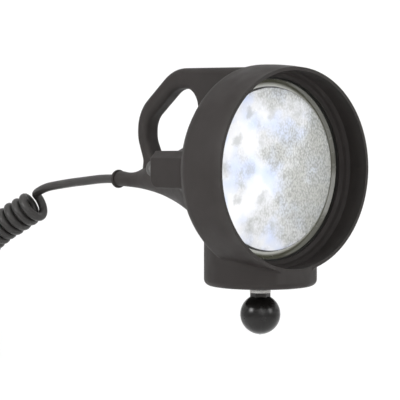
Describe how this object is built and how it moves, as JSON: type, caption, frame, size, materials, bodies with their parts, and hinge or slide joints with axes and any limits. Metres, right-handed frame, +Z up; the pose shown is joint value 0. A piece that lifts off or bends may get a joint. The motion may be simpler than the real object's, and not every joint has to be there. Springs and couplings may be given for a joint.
{
  "type": "handheld LED spotlight",
  "caption": "Handheld LED spotlight in a rubber housing with a deep round hood, D handle, push switch, mounting ball and curly cord ending in a vehicle power plug.",
  "frame": {"origin": "centre of the mounting ball", "axes": "+Z up through the foot to the lamp, the beam leaves along -Y, the cord leaves along +Y, +X is to the right seen from the front"},
  "size_m": [0.131, 0.3481, 0.4055],
  "materials": {
    "housing_rubber": "matt, warm dark grey",
    "plate_steel": "zinc plated",
    "washer_steel": "bright plated",
    "hex_steel": "black oxide",
    "ball_rubber": "smooth, satin gloss",
    "gasket_rubber": "matt",
    "lens_clear": "clear polycarbonate, pebbled inside, clear rim",
    "lamp_aluminium": "satin",
    "optic_clear": "clear moulded optics",
    "led_phosphor": "phosphor, unlit",
    "board_white": "white solder mask",
    "board_green": "green solder mask",
    "parts_dark": "moulded components",
    "block_plastic": "moulded",
    "brass": "satin",
    "tinned_copper": "tinned",
    "cord_sheath": "smooth, slight sheen",
    "nut_nickel": "dull nickel",
    "cap_rubber": "grey, matt",
    "spring_steel": "spring wire",
    "plug_plastic": "moulded, satin",
    "plug_metal": "nickel plated",
    "fuse_glass": "clear",
    "lead_red": "insulation",
    "lead_black": "insulation"
  },
  "bodies": {
    "housing": {"rubber_housing": "housing_rubber", "foot_plate": "plate_steel", "foot_nut": "plate_steel", "stud_washer": "washer_steel", "ball_stud": "hex_steel", "ball_cover": "ball_rubber", "lamp_gasket": "gasket_rubber", "lamp_lens": "lens_clear", "lamp_shell": "lamp_aluminium", "optic_plate": "optic_clear", "led_emitters": "led_phosphor", "led_board": "board_white", "board_screws": "plate_steel", "driver_standoffs": "brass", "driver_board": "board_green", "driver_parts": "parts_dark", "terminal_block": "block_plastic", "lamp_terminals": "brass", "ring_lugs": "tinned_copper", "terminal_screws": "plate_steel", "cord_jacket_end": "cord_sheath", "cord_ferrule": "lamp_aluminium", "switch_body": "block_plastic", "switch_blades": "brass", "boot_nut": "nut_nickel", "switch_spring": "spring_steel", "cord_tail": "cord_sheath", "cord_coil": "cord_sheath", "cord_end": "cord_sheath", "plug_boot": "gasket_rubber", "plug_shell_left": "plug_plastic", "plug_shell_right": "plug_plastic", "plug_screw": "plate_steel", "nose_cap": "plug_plastic", "tip_spring": "spring_steel", "spring_plate": "brass", "lead_supply": "lead_red", "lead_switched": "lead_red", "lead_return": "lead_black"},
    "button": {"button_cap": "cap_rubber", "switch_plunger": "block_plastic", "contact_bridge": "brass"},
    "plug_contact": {"plug_tip": "plug_metal", "fuse_caps": "plug_metal", "fuse_glass": "fuse_glass"},
    "left_contact": {"side_contact_left": "plug_metal"},
    "right_contact": {"side_contact_right": "plug_metal"}
  },
  "joints": [
    {"name": "button_press", "type": "slide", "parent": "housing", "child": "button", "axis": [0, -1, 0], "range_m": [0, 0.0018], "stiffness_N_per_m": 1200, "springref_m": -0.0015, "deforming": ["switch_spring"]},
    {"name": "tip_press", "type": "slide", "parent": "housing", "child": "plug_contact", "axis": [0, 0, 1], "range_m": [0, 0.003], "stiffness_N_per_m": 1500, "springref_m": -0.003, "deforming": ["tip_spring"]},
    {"name": "left_contact_press", "type": "slide", "parent": "housing", "child": "left_contact", "axis": [1, 0, 0], "range_m": [0, 0.0018], "stiffness_N_per_m": 2500, "springref_m": -0.001},
    {"name": "right_contact_press", "type": "slide", "parent": "housing", "child": "right_contact", "axis": [-1, 0, 0], "range_m": [0, 0.0018], "stiffness_N_per_m": 2500, "springref_m": -0.001}
  ]
}
